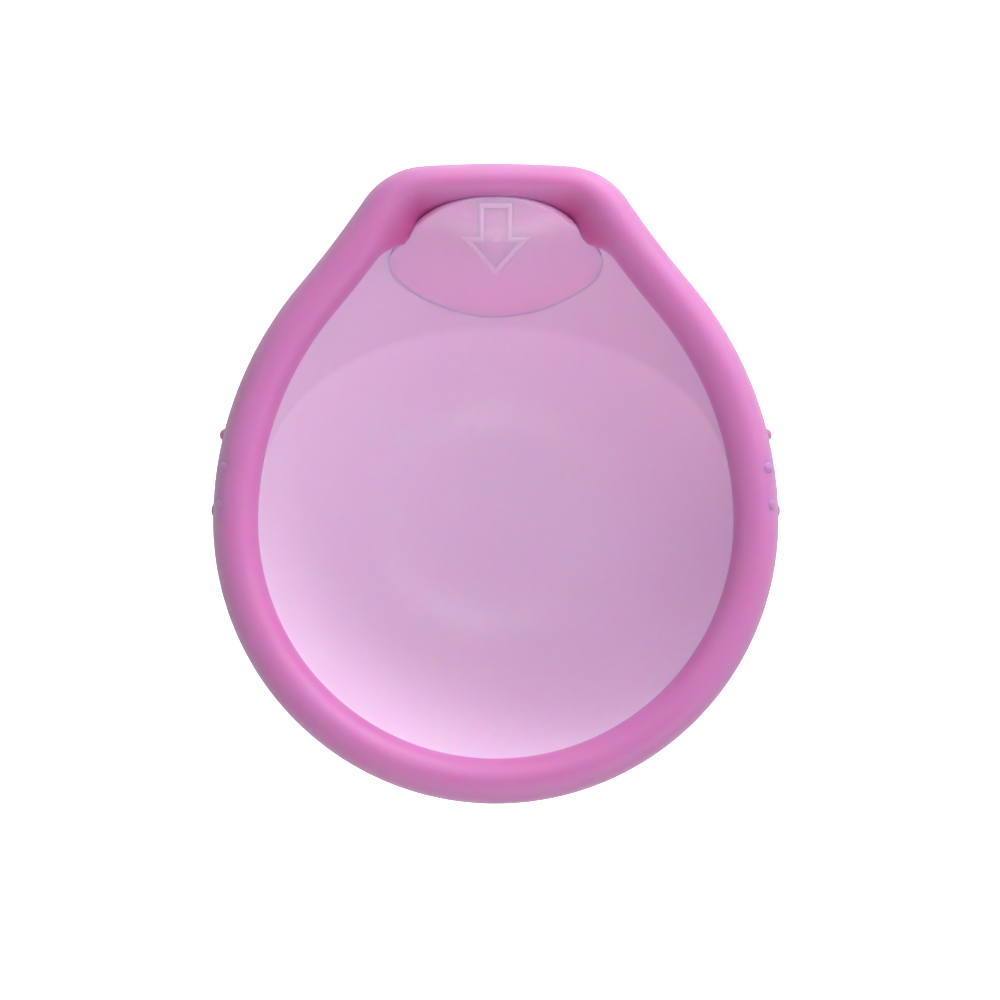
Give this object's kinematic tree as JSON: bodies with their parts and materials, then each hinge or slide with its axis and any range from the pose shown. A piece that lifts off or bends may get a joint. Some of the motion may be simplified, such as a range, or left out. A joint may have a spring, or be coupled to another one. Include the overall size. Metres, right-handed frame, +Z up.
{
  "type": "contoured silicone cup",
  "caption": "Soft pear-shaped silicone cup with a thick sprung rim, a thin see-through bowl and a hollow finger dome marked with an arrow.",
  "frame": {"origin": "bottom centre of the whole cup, on the surface that it rests on; the bowl's flat spot lies on Z = 0", "axes": "+Y from the wide end to the narrow end with the finger dome, +X across the cup, +Z up out of the mouth"},
  "size_m": [0.0672, 0.075, 0.032],
  "materials": {
    "rim_silicone": "satin, slightly see-through pink-mauve silicone",
    "film_silicone": "satin, thin see-through pale mauve silicone",
    "dome_silicone": "satin, slightly see-through mauve silicone",
    "spring_polymer": "natural moulded polymer, hidden in the rim"
  },
  "bodies": {
    "root": {"rim_ring": "rim_silicone", "rim_spring": "spring_polymer", "bowl": "film_silicone", "upper_wall": "film_silicone", "front_webs": "rim_silicone", "finger_dome": "dome_silicone", "insertion_arrow": "dome_silicone", "grip_nubs_left": "rim_silicone", "grip_nubs_right": "rim_silicone"}
  },
  "joints": []
}
